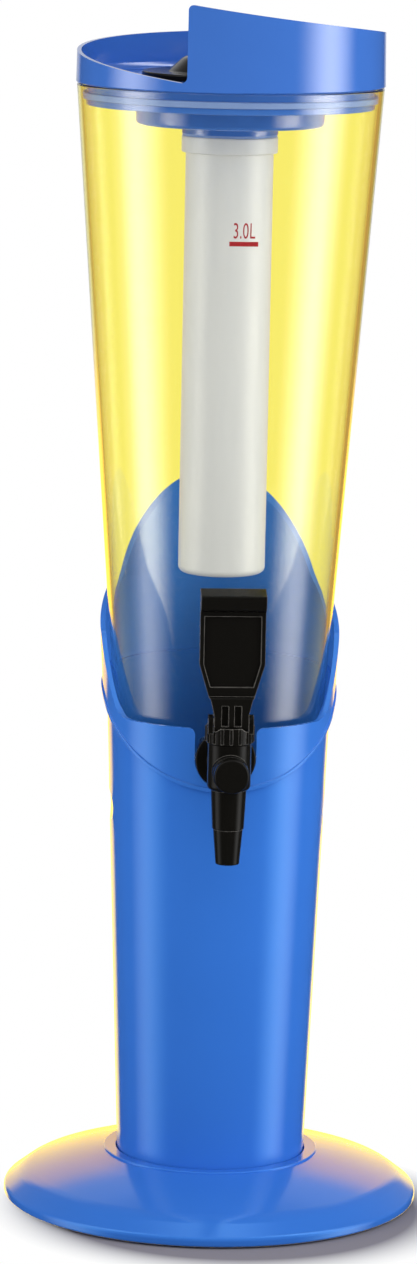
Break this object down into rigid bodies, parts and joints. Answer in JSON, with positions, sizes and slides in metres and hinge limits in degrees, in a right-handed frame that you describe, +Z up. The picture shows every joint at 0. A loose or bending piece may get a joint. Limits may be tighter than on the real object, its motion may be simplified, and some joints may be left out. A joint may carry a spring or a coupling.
{
  "type": "drink tower dispenser",
  "caption": "Free-standing drink tower: flared column, lift-out tapered clear tank, lid with a spiral rim and an ice tube, and a self-closing lever tap.",
  "frame": {"origin": "centre of the footprint on the table", "axes": "+Z up, -Y towards the tap, +X to the right seen from the tap's side"},
  "size_m": [0.22, 0.22, 0.6366],
  "materials": {
    "blue_plastic": "moulded, glossy",
    "clear_plastic": "moulded, clear",
    "frosted_plastic": "moulded, frosted",
    "black_plastic": "moulded, glossy",
    "rubber": "moulded, matt",
    "silicone": "moulded, translucent",
    "steel": "plain stainless"
  },
  "bodies": {
    "stand": {"base_foot": "blue_plastic", "foot_pads": "rubber", "column": "blue_plastic", "column_screws": "steel", "tank_seat": "blue_plastic", "tank_holder": "blue_plastic"},
    "tank": {"tank": "clear_plastic", "tap_body": "black_plastic", "tap_nozzle": "black_plastic", "tap_front_cap": "black_plastic", "tap_bonnet": "black_plastic", "tap_pin": "steel", "tap_spring": "steel", "tap_stem_seal": "rubber", "tap_washer_outer": "rubber", "tap_washer_inner": "rubber", "tap_nut": "black_plastic"},
    "lid": {"lid": "blue_plastic", "lid_gasket": "silicone"},
    "ice_tube": {"ice_tube": "frosted_plastic", "ice_tube_gasket": "silicone"},
    "ice_cap": {"ice_cap": "black_plastic"},
    "tap_lever": {"tap_lever": "black_plastic"},
    "tap_stem": {"tap_stem": "black_plastic", "tap_plunger": "rubber"}
  },
  "joints": [
    {"name": "tank_lift", "type": "slide", "parent": "stand", "child": "tank", "axis": [0, 0, 1], "range_m": [0, 0.16]},
    {"name": "lid_lift", "type": "slide", "parent": "tank", "child": "lid", "axis": [0, 0, 1], "range_m": [0, 0.27]},
    {"name": "ice_cap_lift", "type": "slide", "parent": "lid", "child": "ice_cap", "axis": [0, 0, 1], "range_m": [0, 0.06]},
    {"name": "ice_tube_turn", "type": "hinge", "parent": "lid", "child": "ice_tube", "pos_m": [0, 0, 0.5675], "axis": [0, 0, -1], "range_deg": [0, 90]},
    {"name": "tap_lever_pull", "type": "hinge", "parent": "tank", "child": "tap_lever", "pos_m": [0, -0.0915, 0.274], "axis": [1, 0, 0], "range_deg": [0, 45], "stiffness_Nm_per_rad": 0.3, "springref_deg": -17.19},
    {"name": "tap_stem_lift", "type": "slide", "parent": "tank", "child": "tap_stem", "axis": [0, 0, 1], "range_m": [0, 0.0046], "deforming": ["tap_spring"]}
  ],
  "couplings": [
    {"joint": "tap_lever_pull", "follows": "tap_stem_lift", "rad_per_m": 170.7}
  ]
}
